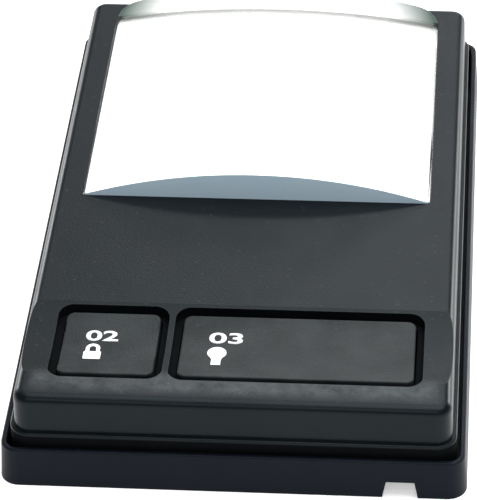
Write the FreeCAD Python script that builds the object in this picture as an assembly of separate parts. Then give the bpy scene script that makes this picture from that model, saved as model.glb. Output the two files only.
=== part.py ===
import FreeCAD, Part
import math
import os

# Pop-up reading magnifier with a lamp: a lens housing lies locked in an open base frame and rises
# on two scissor linkages. Millimetres. X runs across, Y from the keys to the lens, Z up.
# The origin is the middle of the base's bottom face.

Vector = FreeCAD.Vector

# ---------------------------------------------------------------- driving dimensions
BASE_WIDTH = 90.0
BASE_LENGTH = 146.0
BASE_HEIGHT = 8.4
BASE_DRAFT = 0.52           # how far the outer wall leans in at the rim
BASE_CORNER = 3.8
BASE_RIM = 1.1              # rim width at the top of the wall
BASE_FLOOR = 1.5            # thickness of the flange round the reading window
BASE_FLANGE_SIDE = 8.9      # flange width inside the side walls
BASE_FLANGE_END = 5.9       # flange width inside the end walls
WINDOW_CORNER = 2.0
RIM_ROUND = 0.35

NOTCH_BOTTOM = 6.8          # lifting notch in the front wall
NOTCH_TOP = 5.4
NOTCH_HEIGHT = 3.6
NOTCH_FROM_SIDE = 12.75     # notch centre from the base's right side

PAD_WIDTH = 5.0             # rubber pads let into the bottom of the flange
PAD_LENGTH = 14.0
PAD_DEPTH = 0.8
PAD_CORNER = 1.5
PAD_INSET = 12.0            # pad centre from the end of the base

COVER_LEDGE = 2.43          # from the base's rim to the cover's wall
COVER_TOP = 19.3
COVER_DRAFT = 0.28
COVER_CORNER = 3.2
COVER_EDGE_ROUND = 1.8
COVER_WALL = 1.5
COVER_PLATE = 2.0
SKIRT_TOP = 11.1            # height of the step round the cover
SKIRT_STEP = 0.8
SKIRT_BOTTOM = 3.0

TROUGH_DEPTH = 1.0          # shallow cylinder that the keys lie in
TROUGH_WIDTH = 22.2
TROUGH_FROM_FRONT = 11.1    # trough's near edge from the base's front

POCKET_MARGIN = 5.77        # from the cover's side to the key pockets
POCKET_LENGTH = 22.5
POCKET_FROM_FRONT = 9.9
POCKET_CORNER = 3.0
POCKET_FLOOR_DROP = 1.5     # from the trough's lowest line to the ledge in the pocket
POCKET_FLOOR = 1.0          # thickness of that ledge
POCKET_PAN = 1.5            # how far the thick floor round the pockets reaches past them
LOCK_POCKET_WIDTH = 22.0
POCKET_WEB = 1.2
KEY_GAP = 1.7               # between a key and its pocket's wall
KEY_SLOT = 0.35             # between a key and the ledge's edge
KEY_DROP = 0.3              # key top below the trough
KEY_CROWN = 1.6             # thickness of a key's top
KEY_WALL = 1.2
KEY_EDGE_ROUND = 0.3
KEY_TAB = 0.9               # how far a key's tabs catch under the ledge
KEY_TAB_LENGTH = 5.0
KEY_TAB_HEIGHT = 0.5
KEY_TAB_GAP = 0.2           # between the tabs and the ledge above them
KEY_POST_RADIUS = 1.6       # post inside the lock key's spring
PLUNGER_RADIUS = 1.5
DOME_SPACING = 16.5
LOCK_TRAVEL = 1.5
LIGHT_TRAVEL = 0.8

LENS_WIDTH = 72.0
LENS_LENGTH = 72.4
LENS_FROM_REAR = 2.05       # lens window from the cover's rear wall
LENS_RADIUS = 110.0         # radius of the crown, curved across the lens
LENS_BELLY_RADIUS = 600.0   # radius of the underside, curved along the lens
LENS_FAR_CORNER = 4.5
LENS_NEAR_CORNER = 1.0
LENS_FLANGE = 1.3           # width of the lens's side flanges
LENS_FLANGE_HEIGHT = 1.3
LENS_GAP = 0.15
LENS_INSET = 1.05           # the lower face starts this far inside the lens's edge
RETAINER_HEIGHT = 1.4
RETAINER_WIDTH = 3.4
RETAINER_GAP = 0.3          # between the retainer and the lens's lower face
WELL_WALL = 1.0             # white liner round the view down to the page
WELL_GAP = 0.3              # between the liner and the narrower of base window and chassis
WELL_BOTTOM = 0.3           # its lowest edge above the page
CLAMP_GAP = 0.1             # between the lens's flange and the retainer

DECK_BOTTOM = 8.0           # chassis deck over the linkage
DECK_HEIGHT = 1.5
CHASSIS_WALL = 1.2
DECK_REAR_GAP = 0.3         # between the deck and the cover's far wall
LENS_WELL_GAP = 0.1         # between the lens window's line and the chassis walls beside it
SCREW_PAD = 1.0             # how far the pads at the screws stand above the deck
EMBED = 0.1                 # how far joined features run into each other
PAST = 1.0                  # how far a cut runs past the face it opens

ARM_LENGTH = 64.0           # between the end pivots
ARM_HALF_WIDTH = 2.5
ARM_THICKNESS = 1.4
ARM_AXIS = 4.6              # height of the arms' centre line when folded
LIFT_ANGLE = 35.0
PIVOT_RADIUS = 1.5
RUNNING_GAP = 0.05          # between a pin and the arm that turns on it
SLOT_GAP = 0.3              # between a sliding pin and its slot
PLATE_GAP = 0.3             # between neighbouring plates of the linkage
EAR_THICKNESS = 1.2
EAR_HALF_LENGTH = 3.4
EAR_TOP = 7.6
EAR_INSET = 0.55            # between the outer ears and the skirt
PIN_HEAD = 0.25
PIN_HEAD_FLARE = 0.7
LIFT_SPRING_WIRE = 0.2
LIFT_SPRING_LEG = 11.0
LIFT_SPRING_GAP = 0.12      # between the coil and the plates beside it
LIFT_SPRING_CLEAR = 0.9     # from the pin's surface to the middle of the wire

CELL_RADIUS = 5.25          # AAA cell
CELL_LENGTH = 44.5
CELL_NUB_RADIUS = 1.9
CELL_NUB_LENGTH = 0.8
CELL_CHAMFER = 0.4
CELL_GAP = 0.6
CONTACT_THICKNESS = 0.4
CONTACT_SPRING = 2.1        # length of the coil behind a cell's flat end
CONTACT_COIL_RADIUS = 3.0
CONTACT_WIRE = 0.3
CONTACT_TURNS = 2
DOOR_HEIGHT = 1.15
DOOR_TRAVEL = 6.0
DOOR_TONGUE = 0.45
DOOR_TONGUE_HEIGHT = 0.5
DOOR_GAP = 0.15
TRAY_BOTTOM = 1.4
TRAY_SHIFT = 1.6            # the tray's left end from the wide pocket's left edge
TRAY_SETBACK = 0.85         # the tray's middle behind the keys' middle
GUIDE_RAIL_HEIGHT = 2.2     # rails behind the tray that the door slides in
DOOR_RIBS = 5
DOOR_RIB_PITCH = 1.4
DOOR_RIB_HALF_WIDTH = 7.0
DOOR_RIB_DEPTH = 0.35
CONTACT_HALF_WIDTH = 4.2
CONTACT_DROP = 3.6          # the contacts' lower edge below the cells' axis
BOARD_HEIGHT = 0.8
BOARD_INSET = 0.2           # the board's ends from the tray's outer faces
BOARD_SETBACK = 3.0         # the board's long edges from the tray's inner faces
DOME_HEIGHT = 0.9
DOME_RADIUS = 2.6
DOME_TOP_RADIUS = 1.6

BULB_RADIUS = 2.9
BULB_LENGTH = 10.0
BULB_CAP_RADIUS = 2.4
BULB_CAP_LENGTH = 8.0
BULB_CAP_SEAT = 5.4         # how deep the cap sits in the socket
BULB_FROM_LENS = 13.1       # bulb's axis in front of the lens
BULB_HEIGHT = 10.6
SOCKET_LENGTH = 6.4
SOCKET_SHIFT = 4.8          # socket's mouth from the tray's left end
SOCKET_HALF_WIDTH = 3.6
SOCKET_TOP = 3.4            # above the bulb's axis
SOCKET_FOOT = 1.2
REFLECTOR_RADIUS = 5.7
REFLECTOR_GAP = 0.6
REFLECTOR_FOOT = 1.0        # how far its feet stand past the lamp opening
REFLECTOR_SHEET = 0.4
REFLECTOR_LENGTH = 24.0
LAMP_SHIFT = 9.6            # middle of the lamp's box from the socket's mouth
LAMP_BOX_WIDTH = 38.0
LAMP_BOX_LENGTH = 19.0
LAMP_BOX_BOTTOM = 3.6
LAMP_WINDOW_HEIGHT = 1.1
LAMP_WINDOW_GAP = 0.2
LAMP_LEDGE = 0.7            # thickness of the ledge that the lamp window lies on
WIRE_RADIUS = 0.45
WIRE_SPACING = 2.1
WIRE_SOLDERED = 1.5         # length of each wire over the board
WIRE_STRAIGHT = 3.5         # from the tray to the first bend
WIRE_DROP = 4.0             # length of the slanted run
WIRE_BEND = 3.0

SCREW_RADIUS = 0.85
SCREW_HEAD_RADIUS = 1.8
SCREW_HEAD_HEIGHT = 1.1
SCREW_CROSS_DEPTH = 0.5
SCREW_CROSS_HALF_LENGTH = 1.2
SCREW_CROSS_HALF_WIDTH = 0.3
SCREW_HOLE_GAP = 0.15
SCREW_LENGTH = 6.5          # below the head
BOSS_RADIUS = 2.0
BOSS_INSET = 4.4            # screw line from the cover's side wall
BOSS_FROM_FRONT = 4.0       # front screws from the cover's front wall
BOSS_FROM_LENS = 5.4        # rear screws in front of the lens window

STEM_THICKNESS = 1.5
STEM_SETBACK = 6.5          # from the lock key's inner wall to its stem
STEM_HALF_LENGTH = 2.0
LOCK_SPRING_RADIUS = 2.6
LOCK_SPRING_TURNS = 6
LOCK_SPRING_WIRE = 0.3
LATCH_THICKNESS = 1.4
LATCH_REST = 0.6            # tongue's gap from the catch's nose while it is unlocked
LATCH_TONGUE_HEIGHT = 1.8
LATCH_MARGIN = 0.9          # more tongue than the travel needs
LATCH_BOTTOM = 2.6
LATCH_PIN_RADIUS = 0.8
LATCH_PIN_GAP = 0.15
LATCH_PIN_COVER = 0.55      # material over the latch's slot
LATCH_PIN_PAST = 0.4
LATCH_TAIL = 8.5            # latch's rear end behind the key's stem
CATCH_WIDTH = 5.2
CATCH_THICKNESS = 1.5
CATCH_NOSE = 1.4
CATCH_TOP = 6.6
CATCH_RAMP = 0.6            # height of the nose's front edge
GUIDE_LENGTH = 3.0
GUIDE_WALL = 1.1
GUIDE_FLOOR = 0.8
GUIDE_FRONT = 2.6
GUIDE_REAR = 4.0
SLIDE_GAP = 0.3

# ---------------------------------------------------------------- sizes that follow
FRONT = -BASE_LENGTH / 2
rim_half_width = BASE_WIDTH / 2 - BASE_DRAFT
rim_half_length = BASE_LENGTH / 2 - BASE_DRAFT
inner_half_width = rim_half_width - BASE_RIM
inner_half_length = rim_half_length - BASE_RIM
window_half_width = inner_half_width - BASE_FLANGE_SIDE
window_half_length = inner_half_length - BASE_FLANGE_END

cover_half_width = rim_half_width - COVER_LEDGE
cover_half_length = rim_half_length - COVER_LEDGE
skirt_half_width = cover_half_width + SKIRT_STEP
skirt_half_length = cover_half_length + SKIRT_STEP
skirt_inner_width = skirt_half_width - COVER_WALL
skirt_inner_length = skirt_half_length - COVER_WALL
cavity_half_width = cover_half_width - COVER_DRAFT - COVER_WALL
cavity_half_length = cover_half_length - COVER_DRAFT - COVER_WALL
plate_bottom = COVER_TOP - COVER_PLATE

trough_y0 = FRONT + TROUGH_FROM_FRONT
trough_middle = trough_y0 + TROUGH_WIDTH / 2
trough_radius = (TROUGH_WIDTH ** 2 / 4 + TROUGH_DEPTH ** 2) / (2 * TROUGH_DEPTH)
trough_low = COVER_TOP - TROUGH_DEPTH
trough_axis_z = trough_low + trough_radius

pocket_outer = cover_half_width - COVER_DRAFT - POCKET_MARGIN
pocket_y0 = FRONT + POCKET_FROM_FRONT
pocket_y1 = pocket_y0 + POCKET_LENGTH
lock_pocket = (-pocket_outer, -pocket_outer + LOCK_POCKET_WIDTH)
light_pocket = (lock_pocket[1] + POCKET_WEB, pocket_outer)
pocket_floor_top = trough_low - POCKET_FLOOR_DROP
pocket_floor_bottom = pocket_floor_top - POCKET_FLOOR
key_y0 = pocket_y0 + KEY_GAP
key_y1 = pocket_y1 - KEY_GAP
key_top = trough_low - KEY_DROP
key_ceiling = key_top - KEY_CROWN
key_bottom = pocket_floor_bottom - KEY_TAB_GAP - KEY_TAB_HEIGHT
lock_key_x = (lock_pocket[0] + KEY_GAP, lock_pocket[1] - KEY_GAP)
light_key_x = (light_pocket[0] + KEY_GAP, light_pocket[1] - KEY_GAP)

lens_half_width = LENS_WIDTH / 2 - LENS_GAP
lens_y1 = cover_half_length - LENS_FROM_REAR - LENS_GAP
lens_y0 = lens_y1 + 2 * LENS_GAP - LENS_LENGTH
lens_middle = (lens_y0 + lens_y1) / 2
lens_flange_top = plate_bottom - LENS_GAP
lens_flange_bottom = lens_flange_top - LENS_FLANGE_HEIGHT
lens_crown = LENS_RADIUS - math.sqrt(LENS_RADIUS ** 2 - lens_half_width ** 2)
retainer_top = lens_flange_bottom - CLAMP_GAP
retainer_bottom = retainer_top - RETAINER_HEIGHT

deck_top = DECK_BOTTOM + DECK_HEIGHT
deck_half_width = skirt_inner_width - SLIDE_GAP
deck_front = -skirt_inner_length + SLIDE_GAP
rail_x0 = LENS_WIDTH / 2 + LENS_WELL_GAP

ear_out_x1 = skirt_inner_width - EAR_INSET
ear_out_x0 = ear_out_x1 - EAR_THICKNESS
outer_arm_x1 = ear_out_x0 - PLATE_GAP
outer_arm_x0 = outer_arm_x1 - ARM_THICKNESS
inner_arm_x1 = outer_arm_x0 - PLATE_GAP
inner_arm_x0 = inner_arm_x1 - ARM_THICKNESS
ear_in_x1 = inner_arm_x0 - PLATE_GAP
ear_in_x0 = ear_in_x1 - EAR_THICKNESS
pivot_y = -ARM_LENGTH / 2
slide_y = ARM_LENGTH / 2
slide_travel = ARM_LENGTH * (1 - math.cos(math.radians(LIFT_ANGLE)))

tray_x0 = light_pocket[0] - TRAY_SHIFT
tray_x1 = tray_x0 + CELL_LENGTH + CONTACT_SPRING + 2 * CONTACT_THICKNESS
cell_bottom = TRAY_BOTTOM + DOOR_HEIGHT + DOOR_GAP
cell_axis = cell_bottom + CELL_RADIUS
tray_top = cell_bottom + 2 * CELL_RADIUS + CLAMP_GAP
cell_spacing = 2 * CELL_RADIUS + CELL_GAP
tray_half_length = (4 * CELL_RADIUS + 3 * CELL_GAP) / 2
tray_middle = (key_y0 + key_y1) / 2 + TRAY_SETBACK
tray_y0 = tray_middle - tray_half_length
tray_y1 = tray_middle + tray_half_length
board_top = tray_top + BOARD_HEIGHT
dome_top = board_top + DOME_HEIGHT
light_key_middle = (light_key_x[0] + light_key_x[1]) / 2
dome_places = [light_key_middle - DOME_SPACING, light_key_middle, light_key_middle + DOME_SPACING]

bulb_y = lens_y0 - BULB_FROM_LENS
lamp_box_y0 = bulb_y - LAMP_BOX_LENGTH / 2
lamp_box_y1 = bulb_y + LAMP_BOX_LENGTH / 2
socket_x1 = tray_x0 + SOCKET_SHIFT
socket_x0 = socket_x1 - SOCKET_LENGTH
lamp_middle = socket_x1 + LAMP_SHIFT

boss_x = cover_half_width - BOSS_INSET
boss_places = [-cover_half_length + BOSS_FROM_FRONT, lens_y0 - BOSS_FROM_LENS]
screw_pad_top = deck_top + SCREW_PAD

stem_x1 = lock_key_x[1] - KEY_WALL - STEM_SETBACK
stem_x0 = stem_x1 - STEM_THICKNESS
stem_y = (key_y0 + key_y1) / 2
latch_x1 = stem_x0 - SLIDE_GAP
latch_x0 = latch_x1 - LATCH_THICKNESS
latch_middle = (latch_x0 + latch_x1) / 2
latch_top = DECK_BOTTOM - SLIDE_GAP
latch_pin_z = latch_top - LATCH_PIN_RADIUS - LATCH_PIN_GAP - LATCH_PIN_COVER
catch_y0 = -skirt_inner_length + SLIDE_GAP
catch_y1 = catch_y0 + CATCH_THICKNESS
nose_y1 = catch_y1 + CATCH_NOSE
nose_z0 = LATCH_BOTTOM + LATCH_TONGUE_HEIGHT + SLIDE_GAP
latch_y0 = nose_y1 + LATCH_REST
latch_body_y0 = latch_y0 + LOCK_TRAVEL + LATCH_MARGIN
latch_y1 = stem_y + LATCH_TAIL
guide_places = [latch_body_y0 + GUIDE_FRONT, latch_y1 - GUIDE_REAR]
lock_spring_x = stem_x1 + LOCK_SPRING_RADIUS + 2 * LOCK_SPRING_WIRE


# ---------------------------------------------------------------- helpers
def block(x0, x1, y0, y1, z0, z1):
    return Part.makeBox(x1 - x0, y1 - y0, z1 - z0, Vector(x0, y0, z0))


def rod_x(x0, x1, y, z, radius):
    return Part.makeCylinder(radius, x1 - x0, Vector(x0, y, z), Vector(1, 0, 0))


def rod_z(x, y, z0, z1, radius):
    return Part.makeCylinder(radius, z1 - z0, Vector(x, y, z0), Vector(0, 0, 1))


def corner_arc(cx, cy, radius, start, z):
    """Quarter circle that starts at an angle in degrees and turns anticlockwise."""
    points = []
    for turn in (0, 45, 90):
        angle = math.radians(start + turn)
        points.append(Vector(cx + radius * math.cos(angle), cy + radius * math.sin(angle), z))
    return Part.Arc(*points).toShape()


def rounded_outline(x0, x1, y0, y1, near_radius, far_radius, z):
    """Closed rectangle with one radius at the near (-Y) corners and one at the far corners."""
    n = near_radius
    f = far_radius
    edges = [
        Part.makeLine(Vector(x0 + n, y0, z), Vector(x1 - n, y0, z)),
        corner_arc(x1 - n, y0 + n, n, -90, z),
        Part.makeLine(Vector(x1, y0 + n, z), Vector(x1, y1 - f, z)),
        corner_arc(x1 - f, y1 - f, f, 0, z),
        Part.makeLine(Vector(x1 - f, y1, z), Vector(x0 + f, y1, z)),
        corner_arc(x0 + f, y1 - f, f, 90, z),
        Part.makeLine(Vector(x0, y1 - f, z), Vector(x0, y0 + n, z)),
        corner_arc(x0 + n, y0 + n, n, 180, z),
    ]
    return Part.Wire(edges)


def rounded_block(x0, x1, y0, y1, z0, z1, near_radius, far_radius=None):
    far = near_radius if far_radius is None else far_radius
    outline = rounded_outline(x0, x1, y0, y1, near_radius, far, z0)
    return Part.Face(outline).extrude(Vector(0, 0, z1 - z0))


def centred_block(half_width, half_length, z0, z1, radius):
    return rounded_block(-half_width, half_width, -half_length, half_length, z0, z1, radius)


def drafted_block(half_width, half_length, z0, z1, radius, draft):
    """Rounded block whose four walls lean in by draft at the top."""
    low = rounded_outline(-half_width, half_width, -half_length, half_length, radius, radius, z0)
    w = half_width - draft
    h = half_length - draft
    high = rounded_outline(-w, w, -h, h, radius - draft, radius - draft, z1)
    return Part.makeLoft([low, high], True, True)


def edges_at(shape, z):
    """Edges that lie wholly at height z."""
    found = []
    for edge in shape.Edges:
        box = edge.BoundBox
        if abs(box.ZMin - z) < 1e-3 and abs(box.ZMax - z) < 1e-3:
            found.append(edge)
    return found


def mirrored(shape):
    return shape.mirror(Vector(0, 0, 0), Vector(1, 0, 0))


def both_sides(shape):
    return [shape, mirrored(shape)]


def coil(radius, wire_radius, length, turns):
    """Round-wire coil round +Z; its length includes the wire."""
    rise = length - 2 * wire_radius
    path = Part.Wire(Part.makeLongHelix(rise / turns, rise, radius))
    ring = Part.Circle(Vector(radius, 0, 0), Vector(0, 1, 0), wire_radius).toShape()
    solid = path.makePipeShell([Part.Wire(ring)], True, True)
    solid.translate(Vector(0, 0, wire_radius))
    return solid


def along_x(shape, x, y, z):
    """Turns a shape built round +Z to lie along +X from the given point."""
    shape.rotate(Vector(0, 0, 0), Vector(0, 1, 0), 90)
    shape.translate(Vector(x, y, z))
    return shape


def obround_x(x0, x1, y0, z0, y1, z1, radius):
    """Bar along the YZ line from one centre to the other, with round ends, thick in X."""
    length = math.hypot(y1 - y0, z1 - z0)
    bar = Part.makeBox(x1 - x0, length, 2 * radius, Vector(x0, 0, -radius))
    bar.rotate(Vector(0, 0, 0), Vector(1, 0, 0), math.degrees(math.atan2(z1 - z0, y1 - y0)))
    bar.translate(Vector(0, y0, z0))
    ends = [rod_x(x0, x1, y0, z0, radius), rod_x(x0, x1, y1, z1, radius)]
    return bar.multiFuse(ends).removeSplitter()


def wire_run(points, radius, bend):
    """Round wire through the points, with an arc of the given radius at each inner point."""
    edges = []
    start = points[0]
    for before, corner, after in zip(points, points[1:], points[2:]):
        into = (before - corner).normalize()
        out = (after - corner).normalize()
        half = into.getAngle(out) / 2
        back = bend / math.tan(half)
        a = corner + into * back
        b = corner + out * back
        centre = corner + (into + out).normalize() * (bend / math.sin(half))
        middle = centre + (corner - centre).normalize() * bend
        edges.append(Part.makeLine(start, a))
        edges.append(Part.Arc(a, middle, b).toShape())
        start = b
    edges.append(Part.makeLine(start, points[-1]))
    path = Part.Wire(edges)
    ring = Part.Circle(points[0], points[1] - points[0], radius).toShape()
    return path.makePipeShell([Part.Wire(ring)], True, False)


def save(node, *solids):
    shape = solids[0] if len(solids) == 1 else Part.makeCompound(list(solids))
    shape.exportStep("parts/" + node + ".step")


# ---------------------------------------------------------------- base
def slide_rail(x0, x1, z0, z1):
    """Upright plate with the slot that a sliding pin runs in."""
    y0 = slide_y - slide_travel - EAR_HALF_LENGTH
    y1 = slide_y + EAR_HALF_LENGTH
    plate = block(x0, x1, y0, y1, z0, z1)
    slot = obround_x(x0 - PAST, x1 + PAST, slide_y - slide_travel, ARM_AXIS, slide_y, ARM_AXIS,
                     PIVOT_RADIUS + SLOT_GAP)
    return plate.cut(slot)


def pivot_ear(x0, x1, z0, z1):
    """Upright plate with the bore that an end pivot sits in."""
    plate = block(x0, x1, pivot_y - EAR_HALF_LENGTH, pivot_y + EAR_HALF_LENGTH, z0, z1)
    return plate.cut(rod_x(x0 - PAST, x1 + PAST, pivot_y, ARM_AXIS, PIVOT_RADIUS))


def notch():
    """Trapezoid cut that opens through the front wall and the flange behind it."""
    middle = BASE_WIDTH / 2 - NOTCH_FROM_SIDE
    low = NOTCH_BOTTOM / 2
    high = NOTCH_TOP / 2
    corners = [(middle - low, 0), (middle + low, 0), (middle + high, NOTCH_HEIGHT)]
    corners.append((middle - high, NOTCH_HEIGHT))
    points = [Vector(x, FRONT - PAST, z) for x, z in corners]
    outline = Part.makePolygon(points + points[:1])
    return Part.Face(outline).extrude(Vector(0, PAST - FRONT - window_half_length, 0))


def catch():
    """Post with a nose that the latch's tongue hooks under."""
    x0 = latch_middle - CATCH_WIDTH / 2
    x1 = latch_middle + CATCH_WIDTH / 2
    profile = [
        Vector(x0, catch_y0, BASE_FLOOR - EMBED),
        Vector(x0, catch_y1, BASE_FLOOR - EMBED),
        Vector(x0, catch_y1, nose_z0),
        Vector(x0, nose_y1, nose_z0),
        Vector(x0, nose_y1, nose_z0 + CATCH_RAMP),
        Vector(x0, catch_y1, CATCH_TOP),
        Vector(x0, catch_y0, CATCH_TOP),
    ]
    return Part.Face(Part.makePolygon(profile + profile[:1])).extrude(Vector(x1 - x0, 0, 0))


def pad_places():
    x = (inner_half_width + window_half_width) / 2
    y = BASE_LENGTH / 2 - PAD_INSET
    return [(side * x, end * y) for side in (-1, 1) for end in (-1, 1)]


def pad(x, y):
    w = PAD_WIDTH / 2
    h = PAD_LENGTH / 2
    return rounded_block(x - w, x + w, y - h, y + h, 0, PAD_DEPTH, PAD_CORNER)


def make_base():
    body = drafted_block(BASE_WIDTH / 2, BASE_LENGTH / 2, 0, BASE_HEIGHT, BASE_CORNER, BASE_DRAFT)
    inner_corner = BASE_CORNER - BASE_DRAFT - BASE_RIM
    hollow = centred_block(inner_half_width, inner_half_length, BASE_FLOOR, BASE_HEIGHT + PAST, inner_corner)
    body = body.cut(hollow)
    body = body.makeFillet(RIM_ROUND, edges_at(body, BASE_HEIGHT))
    window = centred_block(window_half_width, window_half_length, -PAST, BASE_FLOOR + PAST, WINDOW_CORNER)
    body = body.cut(window)
    foot = BASE_FLOOR - EMBED
    ear = pivot_ear(ear_out_x0, ear_out_x1, foot, EAR_TOP)
    rail = slide_rail(ear_in_x0, ear_in_x1, foot, EAR_TOP)
    body = body.multiFuse(both_sides(ear) + both_sides(rail) + [catch()])
    body = body.cut(notch())
    for x, y in pad_places():
        body = body.cut(pad(x, y))
    save("base_frame", body.removeSplitter())
    save("grip_pads", *[pad(x, y) for x, y in pad_places()])


# ---------------------------------------------------------------- scissor linkage
def arm(x0, x1, holes):
    plate = obround_x(x0, x1, pivot_y, ARM_AXIS, slide_y, ARM_AXIS, ARM_HALF_WIDTH)
    for y, radius in holes:
        plate = plate.cut(rod_x(x0 - PAST, x1 + PAST, y, ARM_AXIS, radius))
    return plate


def make_arms():
    free = PIVOT_RADIUS + RUNNING_GAP
    outer = arm(outer_arm_x0, outer_arm_x1, [(pivot_y, free), (0, PIVOT_RADIUS), (slide_y, PIVOT_RADIUS)])
    inner = arm(inner_arm_x0, inner_arm_x1, [(pivot_y, free), (0, free), (slide_y, PIVOT_RADIUS)])
    save("outer_arms", *both_sides(outer))
    save("inner_arms", *both_sides(inner))


def make_pins():
    base_pin = rod_x(outer_arm_x0, ear_out_x1, pivot_y, ARM_AXIS, PIVOT_RADIUS)
    base_head = rod_x(ear_out_x1, ear_out_x1 + PIN_HEAD, pivot_y, ARM_AXIS, PIVOT_RADIUS + PIN_HEAD_FLARE)
    save("base_pivot_pins", *both_sides(base_pin.fuse(base_head)))
    housing_pin = rod_x(ear_in_x0, inner_arm_x1, pivot_y, ARM_AXIS, PIVOT_RADIUS)
    save("housing_pivot_pins", *both_sides(housing_pin))
    centre_pin = rod_x(ear_in_x0 + EMBED, outer_arm_x1, 0, ARM_AXIS, PIVOT_RADIUS)
    save("centre_pins", *both_sides(centre_pin))
    housing_slider = rod_x(outer_arm_x0, ear_out_x1, slide_y, ARM_AXIS, PIVOT_RADIUS)
    save("housing_slide_pins", *both_sides(housing_slider))
    base_slider = rod_x(ear_in_x0, inner_arm_x1, slide_y, ARM_AXIS, PIVOT_RADIUS)
    save("base_slide_pins", *both_sides(base_slider))


def make_lift_springs():
    wire = LIFT_SPRING_WIRE
    radius = PIVOT_RADIUS + LIFT_SPRING_CLEAR
    x0 = ear_in_x0 + LIFT_SPRING_GAP
    x1 = inner_arm_x0 - LIFT_SPRING_GAP
    low = ARM_AXIS - radius
    spring = along_x(coil(radius, wire, x1 - x0, 2), x0, 0, ARM_AXIS)
    leg = Part.makeCylinder(wire, LIFT_SPRING_LEG, Vector(x1 - wire, 0, low), Vector(0, 1, 0))
    tang = Part.makeCylinder(wire, LIFT_SPRING_CLEAR - EMBED, Vector(x0 + wire, 0, low), Vector(0, 0, 1))
    save("lift_springs", *both_sides(spring.multiFuse([leg, tang])))


# ---------------------------------------------------------------- housing
def make_cover():
    body = drafted_block(cover_half_width, cover_half_length, SKIRT_TOP - RIM_ROUND - EMBED, COVER_TOP,
                         COVER_CORNER, COVER_DRAFT)
    body = body.makeFillet(COVER_EDGE_ROUND, edges_at(body, COVER_TOP))
    skirt = centred_block(skirt_half_width, skirt_half_length, SKIRT_BOTTOM, SKIRT_TOP,
                          COVER_CORNER + SKIRT_STEP)
    skirt = skirt.makeFillet(RIM_ROUND, edges_at(skirt, SKIRT_TOP))
    body = body.fuse(skirt)
    trough_half = BASE_WIDTH / 2
    body = body.cut(rod_x(-trough_half, trough_half, trough_middle, trough_axis_z, trough_radius))
    corner = COVER_CORNER + SKIRT_STEP - COVER_WALL
    body = body.cut(centred_block(skirt_inner_width, skirt_inner_length, 0, SKIRT_TOP - COVER_WALL, corner))
    cavity = centred_block(cavity_half_width, cavity_half_length, 0, plate_bottom, corner - SKIRT_STEP)
    body = body.cut(cavity)
    pan = block(-pocket_outer - POCKET_PAN, pocket_outer + POCKET_PAN, pocket_y0 - POCKET_PAN,
                pocket_y1 + POCKET_PAN, pocket_floor_bottom, plate_bottom + EMBED)
    body = body.fuse(pan)
    for (x0, x1), key_x in ((lock_pocket, lock_key_x), (light_pocket, light_key_x)):
        pocket = rounded_block(x0, x1, pocket_y0, pocket_y1, pocket_floor_top, COVER_TOP + PAST,
                               POCKET_CORNER)
        slot = rounded_block(key_x[0] - KEY_SLOT, key_x[1] + KEY_SLOT, key_y0 - KEY_SLOT, key_y1 + KEY_SLOT,
                             0, COVER_TOP, POCKET_CORNER - KEY_GAP + KEY_SLOT)
        body = body.cut(pocket)
        body = body.cut(slot)
    half = LENS_WIDTH / 2
    window = rounded_block(-half, half, lens_y0 - LENS_GAP, lens_y1 + LENS_GAP, 0, COVER_TOP + PAST,
                           LENS_NEAR_CORNER, LENS_FAR_CORNER)
    body = body.cut(window)
    bosses = []
    for y in boss_places:
        bosses += both_sides(rod_z(boss_x, y, screw_pad_top, plate_bottom + EMBED, BOSS_RADIUS))
    body = body.multiFuse(bosses)
    for y in boss_places:
        hole_top = DECK_BOTTOM + SCREW_HEAD_HEIGHT + SCREW_LENGTH + SCREW_HOLE_GAP
        for hole in both_sides(rod_z(boss_x, y, screw_pad_top - PAST, hole_top, SCREW_RADIUS)):
            body = body.cut(hole)
    save("top_cover", body.removeSplitter())


def make_lens():
    upper = rounded_block(-lens_half_width, lens_half_width, lens_y0, lens_y1, lens_flange_bottom,
                          COVER_TOP + lens_crown, LENS_NEAR_CORNER, LENS_FAR_CORNER)
    top_axis = COVER_TOP + lens_crown - LENS_RADIUS
    upper = upper.common(rod_x_turned(top_axis))
    flange = block(-lens_half_width - LENS_FLANGE, lens_half_width + LENS_FLANGE, lens_y0,
                   lens_y1 - LENS_FAR_CORNER, lens_flange_bottom, lens_flange_top)
    low_half = lens_half_width - LENS_INSET
    low_y0 = lens_y0 + LENS_INSET
    low_y1 = lens_y1 - LENS_INSET
    sag = LENS_BELLY_RADIUS - math.sqrt(LENS_BELLY_RADIUS ** 2 - ((low_y1 - low_y0) / 2) ** 2)
    lower = rounded_block(-low_half, low_half, low_y0, low_y1, lens_flange_bottom - sag - PAST,
                          lens_flange_bottom + EMBED, LENS_NEAR_CORNER, LENS_FAR_CORNER - LENS_INSET)
    bottom_axis = lens_flange_bottom - sag + LENS_BELLY_RADIUS
    belly = rod_x(-low_half - PAST, low_half + PAST, lens_middle, bottom_axis, LENS_BELLY_RADIUS)
    lower = lower.common(belly)
    save("lens", upper.multiFuse([flange, lower]).removeSplitter())


def rod_x_turned(axis_z):
    """Cylinder along Y over the whole lens: its crown is the lens's upper face."""
    start = Vector(0, lens_y0 - PAST, axis_z)
    return Part.makeCylinder(LENS_RADIUS, LENS_LENGTH + 2 * PAST, start, Vector(0, 1, 0))


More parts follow.
